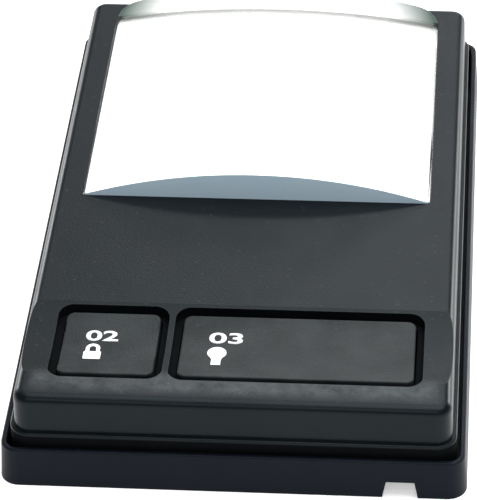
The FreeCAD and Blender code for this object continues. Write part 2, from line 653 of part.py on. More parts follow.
def make_retainer():
    half = lens_half_width - LENS_INSET + RETAINER_GAP
    y0 = lens_y0 + LENS_INSET - RETAINER_GAP
    y1 = lens_y1 - LENS_INSET + RETAINER_GAP
    outer = rounded_block(-half - RETAINER_WIDTH, half + RETAINER_WIDTH, y0 - RETAINER_WIDTH,
                          lens_y1 + CLAMP_GAP, retainer_bottom, retainer_top, RETAINER_HEIGHT)
    hole = rounded_block(-half, half, y0, y1, 0, COVER_TOP, LENS_NEAR_CORNER, LENS_FAR_CORNER - LENS_INSET)
    save("lens_retainer", outer.cut(hole))


def make_light_well():
    """Liner that hangs from the retainer round the view. Its near wall stops above the lamp's light."""
    half = min(window_half_width, rail_x0) - WELL_GAP
    y0 = lens_y0 - LENS_GAP - CHASSIS_WALL + CLAMP_GAP
    y1 = window_half_length - WELL_GAP
    corner = WINDOW_CORNER - WELL_GAP
    body = rounded_block(-half, half, y0, y1, WELL_BOTTOM, retainer_bottom, corner)
    flange_half = rail_x0 - CLAMP_GAP
    flange = rounded_block(-flange_half, flange_half, y0, lens_y1, retainer_bottom - WELL_WALL,
                           retainer_bottom, corner)
    body = body.fuse(flange)
    wall = WELL_WALL
    hollow = rounded_block(-half + wall, half - wall, y0 + wall, y1 - wall, 0, COVER_TOP, corner - wall)
    body = body.cut(hollow)
    body = body.cut(block(-half + wall, half - wall, y0 - PAST, y0 + wall + PAST, 0, DECK_BOTTOM))
    save("light_well", body.removeSplitter())


def make_chassis():
    rear = cavity_half_length - DECK_REAR_GAP
    corner = COVER_CORNER + SKIRT_STEP - COVER_WALL
    deck = rounded_block(-deck_half_width, deck_half_width, deck_front, rear, DECK_BOTTOM, deck_top, corner)
    parts = chassis_rails(rear) + chassis_hangers() + chassis_boxes() + latch_guides()
    body = deck.multiFuse(parts)
    opening = block(-rail_x0, rail_x0, lens_y0 - LENS_GAP - CHASSIS_WALL, rear + PAST, -PAST, COVER_TOP)
    body = body.cut(opening)
    body = body.cut(block(tray_x0, tray_x1, tray_y0, tray_y1, -PAST, COVER_TOP))
    body = body.cut(door_way())
    lamp_x0 = lamp_middle - LAMP_BOX_WIDTH / 2 + CHASSIS_WALL
    lamp_x1 = lamp_middle + LAMP_BOX_WIDTH / 2 - CHASSIS_WALL
    y0 = lamp_box_y0 + CHASSIS_WALL
    y1 = lamp_box_y1 - CHASSIS_WALL
    ledge_top = LAMP_BOX_BOTTOM + LAMP_LEDGE
    lip = CHASSIS_WALL
    body = body.cut(block(lamp_x0, lamp_x1, y0, y1, ledge_top, COVER_TOP))
    body = body.cut(block(lamp_x0 + lip, lamp_x1 - lip, y0 + lip, y1 - lip, -PAST, COVER_TOP))
    gap = SLIDE_GAP
    half = STEM_HALF_LENGTH + gap
    body = body.cut(block(stem_x0 - gap, stem_x1 + gap, stem_y - half, stem_y + half, DECK_BOTTOM - PAST,
                          deck_top + PAST))
    for y in boss_places:
        for x in (-boss_x, boss_x):
            head_top = DECK_BOTTOM + SCREW_HEAD_HEIGHT
            body = body.cut(rod_z(x, y, DECK_BOTTOM - PAST, head_top, SCREW_HEAD_RADIUS + CLAMP_GAP))
            body = body.cut(rod_z(x, y, DECK_BOTTOM, screw_pad_top + PAST, SCREW_RADIUS + SCREW_HOLE_GAP))
    save("chassis", body.removeSplitter())


def chassis_rails(rear):
    """Upright walls beside the lens that carry the retainer, and the pads at the screws."""
    rail = block(rail_x0, rail_x0 + CHASSIS_WALL, lens_y0 - LENS_GAP, rear - DECK_REAR_GAP, DECK_BOTTOM,
                 retainer_bottom)
    parts = both_sides(rail)
    for y in boss_places:
        parts += both_sides(rod_z(boss_x, y, DECK_BOTTOM, screw_pad_top, BOSS_RADIUS))
    return parts


def chassis_hangers():
    """Ears for the inner arms' pivots and rails for the outer arms' sliding pins."""
    bottom = ARM_AXIS - ARM_HALF_WIDTH
    ear = pivot_ear(ear_in_x0, ear_in_x1, bottom, DECK_BOTTOM + EMBED)
    rail = slide_rail(ear_out_x0, ear_out_x1, bottom, DECK_BOTTOM + EMBED)
    return both_sides(ear) + both_sides(rail)


def chassis_boxes():
    """Outer blocks of the cell tray, its door's guides and the lamp box, before they are hollowed."""
    wall = CHASSIS_WALL
    tray = block(tray_x0 - wall, tray_x1 + wall, tray_y0 - wall, tray_y1 + wall, TRAY_BOTTOM, tray_top)
    guide_top = TRAY_BOTTOM + GUIDE_RAIL_HEIGHT
    guides = []
    for x0, x1 in ((tray_x0 - wall, tray_x0), (tray_x1, tray_x1 + wall)):
        guides.append(block(x0, x1, tray_y1, tray_y1 + DOOR_TRAVEL, TRAY_BOTTOM, guide_top))
    half = LAMP_BOX_WIDTH / 2
    lamp_box = block(lamp_middle - half, lamp_middle + half, lamp_box_y0, lamp_box_y1, LAMP_BOX_BOTTOM,
                     DECK_BOTTOM + EMBED)
    return [tray, lamp_box] + guides


def door_way():
    """Groove for the door's tongues, open at the far end so that the door can slide."""
    z0 = TRAY_BOTTOM + DOOR_HEIGHT - DOOR_TONGUE_HEIGHT - CLAMP_GAP
    z1 = z0 + DOOR_TONGUE_HEIGHT + 2 * CLAMP_GAP
    reach = DOOR_TONGUE + DOOR_GAP
    far = tray_y1 + DOOR_TRAVEL + PAST
    groove = block(tray_x0 - reach, tray_x1 + reach, tray_y0, far, z0, z1)
    return groove.fuse(block(tray_x0, tray_x1, tray_y0, far, TRAY_BOTTOM - PAST, z1))


def latch_guides():
    """Two U-shaped brackets under the deck that the latch slides in."""
    brackets = []
    x0 = latch_x0 - SLIDE_GAP - GUIDE_WALL
    x1 = latch_x1 + SLIDE_GAP + GUIDE_WALL
    z0 = LATCH_BOTTOM - SLIDE_GAP - GUIDE_FLOOR
    for y in guide_places:
        bracket = block(x0, x1, y - GUIDE_LENGTH / 2, y + GUIDE_LENGTH / 2, z0, DECK_BOTTOM + EMBED)
        room = block(latch_x0 - SLIDE_GAP, latch_x1 + SLIDE_GAP, y - GUIDE_LENGTH, y + GUIDE_LENGTH,
                     LATCH_BOTTOM - SLIDE_GAP, DECK_BOTTOM)
        brackets.append(bracket.cut(room))
    return brackets


def make_screws():
    screws = []
    for y in boss_places:
        for x in (-boss_x, boss_x):
            head_top = DECK_BOTTOM + SCREW_HEAD_HEIGHT
            recess = DECK_BOTTOM + SCREW_CROSS_DEPTH
            head = rod_z(x, y, DECK_BOTTOM + RUNNING_GAP, head_top, SCREW_HEAD_RADIUS)
            shank = rod_z(x, y, recess + EMBED, head_top + SCREW_LENGTH, SCREW_RADIUS)
            wide = SCREW_CROSS_HALF_LENGTH
            thin = SCREW_CROSS_HALF_WIDTH
            slot = block(x - thin, x + thin, y - wide, y + wide, DECK_BOTTOM, recess)
            cross = block(x - wide, x + wide, y - thin, y + thin, DECK_BOTTOM, recess)
            screws.append(head.fuse(shank).cut(slot).cut(cross))
    save("case_screws", *screws)


# ---------------------------------------------------------------- keys, latch and switch
def key_body(key_x, tab_places):
    x0, x1 = key_x
    radius = POCKET_CORNER - KEY_GAP + KEY_SLOT
    body = rounded_block(x0, x1, key_y0, key_y1, key_bottom, COVER_TOP, radius)
    dish = rod_x(x0 - PAST, x1 + PAST, trough_middle, trough_axis_z, trough_radius + KEY_DROP)
    body = body.cut(dish)
    rim = [edge for edge in body.Edges if edge.BoundBox.ZMin > key_top - KEY_WALL]
    body = body.makeFillet(KEY_EDGE_ROUND, rim)
    wall = KEY_WALL
    hollow = block(x0 + wall, x1 - wall, key_y0 + wall, key_y1 - wall, key_bottom - PAST, key_ceiling)
    body = body.cut(hollow)
    tab_top = key_bottom + KEY_TAB_HEIGHT
    reach = KEY_SLOT + KEY_TAB
    tabs = []
    for x in tab_places:
        half = KEY_TAB_LENGTH / 2
        tabs.append(block(x - half, x + half, key_y0 - reach, key_y0 + wall, key_bottom, tab_top))
        tabs.append(block(x - half, x + half, key_y1 - wall, key_y1 + reach, key_bottom, tab_top))
    return body.multiFuse(tabs)


def make_lock_key():
    body = key_body(lock_key_x, [(lock_key_x[0] + lock_key_x[1]) / 2])
    half = STEM_HALF_LENGTH
    stem = block(stem_x0, stem_x1, stem_y - half, stem_y + half, latch_pin_z - half, key_ceiling + EMBED)
    pin = rod_x(latch_x0 - LATCH_PIN_PAST, stem_x0 + EMBED, stem_y, latch_pin_z, LATCH_PIN_RADIUS)
    post = rod_z(lock_spring_x, stem_y, deck_top + LOCK_TRAVEL + PAST, key_ceiling + EMBED, KEY_POST_RADIUS)
    save("lock_key", body.multiFuse([stem, pin, post]).removeSplitter())


def make_latch():
    tongue_top = LATCH_BOTTOM + LATCH_TONGUE_HEIGHT
    body = block(latch_x0, latch_x1, latch_body_y0, latch_y1, LATCH_BOTTOM, latch_top)
    tongue = block(latch_x0, latch_x1, latch_y0, latch_body_y0 + 1, LATCH_BOTTOM, tongue_top)
    radius = LATCH_PIN_RADIUS + LATCH_PIN_GAP
    slot = obround_x(latch_x0 - PAST, latch_x1 + PAST, stem_y, latch_pin_z, stem_y + LOCK_TRAVEL,
                     latch_pin_z - LOCK_TRAVEL, radius)
    save("latch_slide", body.fuse(tongue).cut(slot).removeSplitter())


def make_lock_spring():
    spring = coil(LOCK_SPRING_RADIUS, LOCK_SPRING_WIRE, key_ceiling - deck_top, LOCK_SPRING_TURNS)
    spring.translate(Vector(lock_spring_x, stem_y, deck_top))
    save("lock_key_spring", spring)


def make_light_key():
    body = key_body(light_key_x, [dome_places[0], dome_places[2]])
    plungers = []
    for x in dome_places:
        plungers.append(rod_z(x, tray_middle, dome_top, key_ceiling + EMBED, PLUNGER_RADIUS))
    save("light_key", body.multiFuse(plungers).removeSplitter())


def make_switch():
    reach = CHASSIS_WALL - BOARD_INSET
    board = block(tray_x0 - reach, tray_x1 + reach, tray_y0 + BOARD_SETBACK, tray_y1 - BOARD_SETBACK,
                  tray_top, board_top)
    save("switch_board", board)
    domes = []
    for x in dome_places:
        foot = Vector(x, tray_middle, board_top)
        domes.append(Part.makeCone(DOME_RADIUS, DOME_TOP_RADIUS, DOME_HEIGHT, foot))
    save("key_domes", *domes)


# ---------------------------------------------------------------- cells, contacts and door
def cell(y, positive_x, direction):
    """One cell whose nub ends at positive_x; direction is +1 where the nub points to +X."""
    body = Part.makeCylinder(CELL_RADIUS, CELL_LENGTH - CELL_NUB_LENGTH,
                             Vector(positive_x - direction * CELL_NUB_LENGTH, y, cell_axis),
                             Vector(-direction, 0, 0))
    body = body.makeChamfer(CELL_CHAMFER, [e for e in body.Edges if len(e.Vertexes) == 1])
    nub = Part.makeCylinder(CELL_NUB_RADIUS, CELL_NUB_LENGTH + EMBED, Vector(positive_x, y, cell_axis),
                            Vector(-direction, 0, 0))
    return body.fuse(nub)


def make_cells():
    near_y = tray_middle - cell_spacing / 2
    far_y = tray_middle + cell_spacing / 2
    left = tray_x0 + CONTACT_THICKNESS
    right = tray_x1 - CONTACT_THICKNESS
    save("battery_cells", cell(near_y, right, 1), cell(far_y, left, -1))
    z0 = cell_axis - CONTACT_DROP
    half = CONTACT_HALF_WIDTH
    plates = [block(tray_x0, left, y - half, y + half, z0, tray_top) for y in (near_y, far_y)]
    save("contact_plates", *plates)
    save("contact_bridge", block(right, tray_x1, near_y - half, far_y + half, z0, tray_top))
    coils = []
    for x, y in ((left, near_y), (right - CONTACT_SPRING, far_y)):
        spring = coil(CONTACT_COIL_RADIUS, CONTACT_WIRE, CONTACT_SPRING, CONTACT_TURNS)
        coils.append(along_x(spring, x, y, cell_axis))
    save("contact_springs", *coils)


def make_door():
    y0 = tray_y0 + DOOR_GAP
    y1 = tray_y1 + CHASSIS_WALL
    top = TRAY_BOTTOM + DOOR_HEIGHT
    x0 = tray_x0 + DOOR_GAP
    x1 = tray_x1 - DOOR_GAP
    panel = block(x0, x1, y0, y1, TRAY_BOTTOM, top)
    tongue = block(x0 - DOOR_TONGUE, x1 + DOOR_TONGUE, y0, y1, top - DOOR_TONGUE_HEIGHT, top)
    body = panel.fuse(tongue)
    middle = (x0 + x1) / 2
    half = DOOR_RIB_HALF_WIDTH
    depth = DOOR_RIB_DEPTH
    for step in range(1, DOOR_RIBS + 1):
        y = y1 - (step + 1) * DOOR_RIB_PITCH
        groove = block(middle - half, middle + half, y - depth, y + depth, TRAY_BOTTOM - PAST,
                       TRAY_BOTTOM + depth)
        body = body.cut(groove)
    save("battery_door", body.removeSplitter())


# ---------------------------------------------------------------- lamp
def make_lamp():
    cap_x0 = socket_x1 - BULB_CAP_SEAT
    cap_x1 = cap_x0 + BULB_CAP_LENGTH
    cap = rod_x(cap_x0, cap_x1, bulb_y, BULB_HEIGHT, BULB_CAP_RADIUS)
    save("bulb_cap", cap)
    glass = rod_x(cap_x1, cap_x1 + BULB_LENGTH - BULB_RADIUS, bulb_y, BULB_HEIGHT, BULB_RADIUS)
    tip = Part.makeSphere(BULB_RADIUS, Vector(cap_x1 + BULB_LENGTH - BULB_RADIUS, bulb_y, BULB_HEIGHT))
    save("bulb_glass", glass.fuse(tip).removeSplitter())
    half = SOCKET_HALF_WIDTH
    socket = block(socket_x0, socket_x1, bulb_y - half, bulb_y + half, deck_top, BULB_HEIGHT + SOCKET_TOP)
    foot = block(socket_x0, socket_x1, lamp_box_y0, lamp_box_y1, deck_top, deck_top + SOCKET_FOOT)
    bore = rod_x(cap_x0, socket_x1 + PAST, bulb_y, BULB_HEIGHT, BULB_CAP_RADIUS + RUNNING_GAP)
    save("lamp_socket", socket.fuse(foot).cut(bore).removeSplitter())
    inset = CHASSIS_WALL + LAMP_WINDOW_GAP
    half = LAMP_BOX_WIDTH / 2 - inset
    ledge = LAMP_BOX_BOTTOM + LAMP_LEDGE
    window = block(lamp_middle - half, lamp_middle + half, lamp_box_y0 + inset, lamp_box_y1 - inset, ledge,
                   ledge + LAMP_WINDOW_HEIGHT)
    save("lamp_window", window)
    make_reflector()
    make_wires()


def make_reflector():
    """Sheet folded over the bulb, with feet that stand on the deck at both sides."""
    x0 = socket_x1 + REFLECTOR_GAP
    x1 = x0 + REFLECTOR_LENGTH
    outer = REFLECTOR_RADIUS
    inner = outer - REFLECTOR_SHEET
    top = block(x0, x1, bulb_y - outer, bulb_y + outer, deck_top, BULB_HEIGHT)
    top = top.fuse(rod_x(x0, x1, bulb_y, BULB_HEIGHT, outer))
    feet = block(x0, x1, lamp_box_y0 - REFLECTOR_FOOT, lamp_box_y1 + REFLECTOR_FOOT, deck_top,
                 deck_top + REFLECTOR_SHEET)
    hollow = block(x0 - PAST, x1 + PAST, bulb_y - inner, bulb_y + inner, 0, BULB_HEIGHT)
    hollow = hollow.fuse(rod_x(x0 - PAST, x1 + PAST, bulb_y, BULB_HEIGHT, inner))
    body = top.fuse(feet).cut(hollow)
    body = body.cut(block(x0 - PAST, x1 + PAST, bulb_y - outer, bulb_y + outer, 0, deck_top))
    save("reflector", body.removeSplitter())


def make_wires():
    """Two leads from the switch board's far edge to the lamp socket."""
    start_y = tray_y1 - BOARD_SETBACK - WIRE_SOLDERED
    lie = board_top + WIRE_RADIUS
    entry = BULB_HEIGHT + BULB_CAP_RADIUS - EMBED
    socket_y = bulb_y - SOCKET_HALF_WIDTH
    wires = []
    for step in (0, 1):
        x = tray_x0 + (1 - step) * WIRE_SPACING
        points = [
            Vector(x, start_y, lie),
            Vector(x, tray_y1 + WIRE_STRAIGHT, lie),
            Vector(x, tray_y1 + WIRE_STRAIGHT + WIRE_DROP, entry),
            Vector(x, socket_y, entry),
        ]
        wires.append(wire_run(points, WIRE_RADIUS, WIRE_BEND))
    save("lamp_wires", *wires)


# ---------------------------------------------------------------- build
os.makedirs("parts", exist_ok=True)
make_base()
make_arms()
make_pins()
make_lift_springs()
make_cover()
make_lens()
make_retainer()
make_light_well()
make_chassis()
make_screws()
make_lock_key()
make_latch()
make_lock_spring()
make_light_key()
make_switch()
make_cells()
make_door()
make_lamp()
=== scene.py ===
import math

import bpy
from mathutils import Matrix, Vector


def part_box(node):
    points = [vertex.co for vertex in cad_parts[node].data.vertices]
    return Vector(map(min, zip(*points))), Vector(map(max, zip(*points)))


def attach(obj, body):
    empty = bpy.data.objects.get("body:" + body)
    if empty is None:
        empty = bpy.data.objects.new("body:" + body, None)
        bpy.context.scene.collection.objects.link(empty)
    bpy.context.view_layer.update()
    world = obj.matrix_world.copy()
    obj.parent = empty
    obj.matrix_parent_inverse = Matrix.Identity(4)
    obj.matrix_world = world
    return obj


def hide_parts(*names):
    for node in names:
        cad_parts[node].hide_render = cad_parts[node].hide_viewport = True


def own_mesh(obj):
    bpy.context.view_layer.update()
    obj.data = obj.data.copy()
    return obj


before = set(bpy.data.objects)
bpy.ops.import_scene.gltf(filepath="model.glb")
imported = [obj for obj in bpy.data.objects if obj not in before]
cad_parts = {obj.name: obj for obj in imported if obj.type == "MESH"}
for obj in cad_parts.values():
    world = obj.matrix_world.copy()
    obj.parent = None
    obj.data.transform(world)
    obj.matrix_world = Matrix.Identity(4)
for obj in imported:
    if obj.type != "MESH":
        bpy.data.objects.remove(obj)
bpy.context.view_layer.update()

MM = 0.001

# ---------------------------------------------------------------- camera
CAMERA_PLACE = (0.0439, -0.50474, 0.38791)
CAMERA_AIM = (-0.00455, 0.00351, 0.0)
CAMERA_ROLL = math.radians(-1.716)
CAMERA_LENS = 217.9
CAMERA_SENSOR = 36
CAMERA_REACH = (0.01, 50)


# ---------------------------------------------------------------- helpers for modelling
def nothing_selected():
    if bpy.context.object and bpy.context.object.mode == "EDIT":
        bpy.ops.object.mode_set(mode="OBJECT")
    bpy.ops.object.select_all(action="DESELECT")


def only(piece):
    nothing_selected()
    piece.select_set(True)
    bpy.context.view_layer.objects.active = piece


def named(name):
    """The object just added, under its own name."""
    piece = bpy.context.object
    piece.name = name
    piece.data.name = name
    return piece


def bake_place(piece):
    """Leaves the object at the origin with its place in its mesh."""
    only(piece)
    bpy.ops.object.transform_apply(location=True, rotation=True, scale=True)


def add_block(name, low, high):
    size = [b - a for a, b in zip(low, high)]
    middle = [(a + b) / 2 for a, b in zip(low, high)]
    nothing_selected()
    bpy.ops.mesh.primitive_cube_add(size=1, location=middle, scale=size)
    piece = named(name)
    bake_place(piece)
    return piece


def add_rod(name, middle, axis, radius, length, sides):
    nothing_selected()
    turn = Vector((0, 0, 1)).rotation_difference(Vector(axis)).to_euler()
    bpy.ops.mesh.primitive_cylinder_add(
        vertices=sides, radius=radius, depth=length, location=middle, rotation=turn
    )
    piece = named(name)
    bake_place(piece)
    return piece


def add_disc(name, middle, radius, sides):
    nothing_selected()
    bpy.ops.mesh.primitive_circle_add(
        vertices=sides, radius=radius, fill_type="NGON", location=middle
    )
    piece = named(name)
    bake_place(piece)
    return piece


def apply_modifier(piece, kind, **settings):
    only(piece)
    modifier = piece.modifiers.new(kind.lower(), kind)
    for key, value in settings.items():
        setattr(modifier, key, value)
    bpy.ops.object.modifier_apply(modifier=modifier.name)


def combine(piece, other, operation):
    apply_modifier(piece, "BOOLEAN", operation=operation, object=other, solver="EXACT")
    bpy.data.objects.remove(other, do_unlink=True)


def select_edges(piece, wanted):
    """Selects the edges of an object in edit mode for which wanted(a, b) holds."""
    bpy.ops.object.mode_set(mode="OBJECT")
    points = piece.data.vertices
    for part in (piece.data.vertices, piece.data.edges, piece.data.polygons):
        part.foreach_set("select", [False] * len(part))
    for edge in piece.data.edges:
        a, b = (points[i].co for i in edge.vertices)
        edge.select = wanted(a, b)
    bpy.ops.object.mode_set(mode="EDIT")
    bpy.ops.mesh.select_mode(type="EDGE")


def round_edges(piece, wanted, radius, segments):
    only(piece)
    bpy.ops.object.mode_set(mode="EDIT")
    select_edges(piece, wanted)
    bpy.ops.mesh.bevel(offset=radius, offset_type="OFFSET", segments=segments, profile=0.5)
    bpy.ops.object.mode_set(mode="OBJECT")


def smooth(piece, angle=30):
    only(piece)
    bpy.ops.object.shade_smooth_by_angle(angle=math.radians(angle))


# ---------------------------------------------------------------- helpers for materials
FLOAT = "NodeSocketFloat"
COLOR = "NodeSocketColor"


def rgb(r, g, b):
    return (r, g, b, 1.0)


def put(tree, node, values):
    """Fills a node's inputs: a socket is linked, and anything else is set as a value."""
    for key, value in values.items():
        if isinstance(value, bpy.types.NodeSocket):
            tree.links.new(value, node.inputs[key])
        else:
            node.inputs[key].default_value = value


def add_node(tree, kind, values=None, **settings):
    """Adds a shader node and returns its outputs."""
    node = tree.nodes.new("ShaderNode" + kind)
    for key, value in settings.items():
        setattr(node, key, value)
    put(tree, node, values or {})
    return node.outputs


def calc(tree, operation, *terms, clamp=False):
    return add_node(tree, "Math", dict(enumerate(terms)), operation=operation, use_clamp=clamp)["Value"]


def product(tree, *terms):
    result = terms[0]
    for term in terms[1:]:
        result = calc(tree, "MULTIPLY", result, term)
    return result


def ramp(tree, value, start, end, to_start=0.0, to_end=1.0, shape="LINEAR"):
    """Stretches start to end over to_start to to_end, and holds it there beyond both ends."""
    values = {"Value": value, "From Min": start, "From Max": end, "To Min": to_start, "To Max": to_end}
    return add_node(tree, "MapRange", values, interpolation_type=shape)["Result"]


def mix_colour(tree, share, first, second):
    return add_node(tree, "Mix", {0: share, 6: first, 7: second}, data_type="RGBA")[2]


def mix_value(tree, share, first, second):
    return add_node(tree, "Mix", {0: share, 2: first, 3: second}, data_type="FLOAT")[0]


def own_place(tree):
    return add_node(tree, "TexCoord")["Object"]


def own_axes(tree):
    return add_node(tree, "SeparateXYZ", {"Vector": own_place(tree)})


def facing(tree):
    """1 on a level top, and 0 on a wall."""
    normal = add_node(tree, "NewGeometry")["Normal"]
    return add_node(tree, "SeparateXYZ", {"Vector": normal})["Z"]


def noise(tree, scale, detail, roughness=0.5, place=None):
    values = {"Vector": place or own_place(tree), "Scale": scale, "Detail": detail, "Roughness": roughness}
    return add_node(tree, "TexNoise", values)["Fac"]


def per_metre(tree, millimetres):
    """Texture scale of a pattern whose size is given in millimetres."""
    return calc(tree, "DIVIDE", 1 / MM, millimetres)


def add_bump(tree, height, strength, depth):
    """A normal for a relief of some depth in millimetres."""
    return add_node(tree, "Bump", {"Strength": strength, "Distance": depth * MM, "Height": height})["Normal"]


# ---------------------------------------------------------------- effects that materials share
GLOSS_SCALE = 90.0
SPECKLE_SCALE = 4200.0
RUB_SCALE = 260.0


def new_group(name, inputs, outputs):
    """A shader group with the sockets that are given, its inputs' sockets, and its output node."""
    group = bpy.data.node_groups.new(name, "ShaderNodeTree")
    for label, kind, value in inputs:
        socket = group.interface.new_socket(label, in_out="INPUT", socket_type=kind)
        socket.default_value = value
    for label, kind in outputs:
        group.interface.new_socket(label, in_out="OUTPUT", socket_type=kind)
    return group, group.nodes.new("NodeGroupInput").outputs, group.nodes.new("NodeGroupOutput")


def place_group(tree, group, **values):
    """Places a group with its own values and returns its outputs."""
    node = tree.nodes.new("ShaderNodeGroup")
    node.node_tree = group
    put(tree, node, {key.replace("_", " "): value for key, value in values.items()})
    return node.outputs


def make_fine_grain():
    """Fine spark-eroded mould grain with slow changes of gloss."""
    group, given, out = new_group(
        "Fine grain",
        [("Grain Size", FLOAT, 0.3), ("Roughness", FLOAT, 0.5), ("Gloss Drift", FLOAT, 0.05)],
        [("Height", FLOAT), ("Roughness", FLOAT)],
    )
    grain = noise(group, per_metre(group, given["Grain Size"]), 2.0, 0.6)
    drift = calc(group, "SUBTRACT", noise(group, GLOSS_SCALE, 3.0, 0.55), 0.5)
    roughness = calc(group, "MULTIPLY_ADD", drift, given["Gloss Drift"], given["Roughness"])
    put(group, out, {"Height": grain, "Roughness": roughness})
    return group


def make_colour_drift():
    """Slow and fine changes of a colour."""
    group, given, out = new_group(
        "Colour drift",
        [
            ("Color", COLOR, rgb(0.02, 0.02, 0.02)),
            ("Other Color", COLOR, rgb(0.02, 0.02, 0.02)),
            ("Patch Size", FLOAT, 20.0),
            ("Speckle", FLOAT, 0.1),
        ],
        [("Color", COLOR)],
    )
    patches = ramp(group, noise(group, per_metre(group, given["Patch Size"]), 4.0, 0.6), 0.3, 0.7)
    mixed = mix_colour(group, patches, given["Color"], given["Other Color"])
    speck = calc(group, "SUBTRACT", noise(group, SPECKLE_SCALE, 1.0), 0.5)
    gain = calc(group, "MULTIPLY_ADD", speck, given["Speckle"], 1.0)
    lit = add_node(group, "VectorMath", {0: mixed, "Scale": gain}, operation="SCALE")["Vector"]
    put(group, out, {"Color": lit})
    return group


def make_edge_wear_and_highlight():
    """Pale outer edges: partly worn and polished by handling, and partly a painted highlight along the rims.
    """
    group, given, out = new_group(
        "Edge wear", [("Width", FLOAT, 0.3), ("Amount", FLOAT, 0.5)], [("Mask", FLOAT)]
    )
    width = calc(group, "MULTIPLY", given["Width"], MM)
    rounded = add_node(group, "Bevel", {"Radius": width}, samples=4)["Normal"]
    plain = add_node(group, "NewGeometry")["Normal"]
    match = add_node(group, "VectorMath", {0: rounded, 1: plain}, operation="DOT_PRODUCT")["Value"]
    edge = ramp(group, match, 0.995, 0.86)
    broken = ramp(group, noise(group, RUB_SCALE, 4.0, 0.65), 0.35, 0.65, 0.35, 1.0)
    put(group, out, {"Mask": product(group, edge, broken, given["Amount"])})
    return group


def make_settled_dust():
    """A few pale specks that lie on faces turned upwards."""
    group, given, out = new_group(
        "Settled dust",
        [
            ("Color", COLOR, rgb(0.02, 0.02, 0.02)),
            ("Dust Color", COLOR, rgb(0.4, 0.42, 0.4)),
            ("Spacing", FLOAT, 2.5),
            ("Speck Size", FLOAT, 0.1),
            ("Amount", FLOAT, 0.5),
        ],
        [("Color", COLOR)],
    )
    scale = per_metre(group, given["Spacing"])
    cells = add_node(group, "TexVoronoi", {"Vector": own_place(group), "Scale": scale, "Randomness": 1.0})
    speck = ramp(group, calc(group, "DIVIDE", cells["Distance"], given["Speck Size"]), 1.0, 0.35)
    chance = add_node(group, "SeparateColor", {"Color": cells["Color"]})["Red"]
    chosen = ramp(group, chance, 0.45, 0.95)
    upward = ramp(group, facing(group), 0.7, 0.95)
    mask = product(group, speck, chosen, upward, given["Amount"])
    put(group, out, {"Color": mix_colour(group, mask, given["Color"], given["Dust Color"])})
    return group


def make_zone():
    """Marks what lies inside a box, in millimetres, and fades over Softness inside its sides and top."""
    group, given, out = new_group(
        "Zone",
        [
            ("Left", FLOAT, 0.0),
            ("Right", FLOAT, 0.0),
            ("Near", FLOAT, 0.0),
            ("Far", FLOAT, 0.0),
            ("Top", FLOAT, 0.0),
            ("Softness", FLOAT, 0.5),
        ],
        [("Mask", FLOAT)],
    )
    axes = own_axes(group)
    in_metres = {name: calc(group, "MULTIPLY", socket, MM) for name, socket in given.items() if name}
    depths = []
    for axis, low, high in (("X", "Left", "Right"), ("Y", "Near", "Far"), ("Z", None, "Top")):
        if low:
            depths.append(calc(group, "SUBTRACT", axes[axis], in_metres[low]))
        depths.append(calc(group, "SUBTRACT", in_metres[high], axes[axis]))
    shares = [calc(group, "DIVIDE", depth, in_metres["Softness"], clamp=True) for depth in depths]
    put(group, out, {"Mask": product(group, *shares)})
    return group


fine_grain = make_fine_grain()
colour_drift = make_colour_drift()
edge_wear_and_highlight = make_edge_wear_and_highlight()
settled_dust = make_settled_dust()
zone = make_zone()

# ---------------------------------------------------------------- kinds of material
PLASTIC_SPECKLE = 0.5
PLASTIC_GLOSS_DRIFT = 0.16
PLASTIC_RELIEF = 0.6
LEVEL_FACING = (0.9, 0.985)
WALL_GRAIN = 0.25
WEAR_WIDTH = 0.28
WEAR_AND_HIGHLIGHT_COLOUR = rgb(0.05, 0.055, 0.058)
DUST_SPACING = 1.7
DUST_SPECK = 0.22
PALER_ZONE_DUST = 0.2
PALER_PATCH_SCALE = 330.0
PALER_PATCH_RANGE = (0.32, 0.68, 0.25, 1.0)
PALER_COLOUR = rgb(0.056, 0.061, 0.064)
SHADE_COLOUR = rgb(0.001, 0.001, 0.0013)
METAL_PATCH = 9.0
METAL_SPECKLE = 0.15
METAL_WEAR_WIDTH = 0.15
METAL_WEAR = 0.6
METAL_RELIEF = 0.5
METAL_EDGE_COLOUR = rgb(0.85, 0.85, 0.84)
DRAWN_SCALE = 5200.0
DRAWN_STRETCH = 0.06
DRAWN_GLOSS = (0.7, 1.4)
ACRYLIC_INDEX = 1.49


def new_material(name, **sockets):
    """A material with a Principled shader, and its node tree."""
    material = bpy.data.materials.new(name)
    material.use_nodes = True
    tree = material.node_tree
    shader = tree.nodes["Principled BSDF"]
    put(tree, shader, {key.replace("_", " "): value for key, value in sockets.items()})
    return material, tree, shader


def drifting(tree, colour, other, patch, speckle):
    """A colour that drifts towards another in patches of a size in millimetres."""
    values = {"Color": colour, "Other_Color": other, "Patch_Size": patch, "Speckle": speckle}
    return place_group(tree, colour_drift, **values)["Color"]


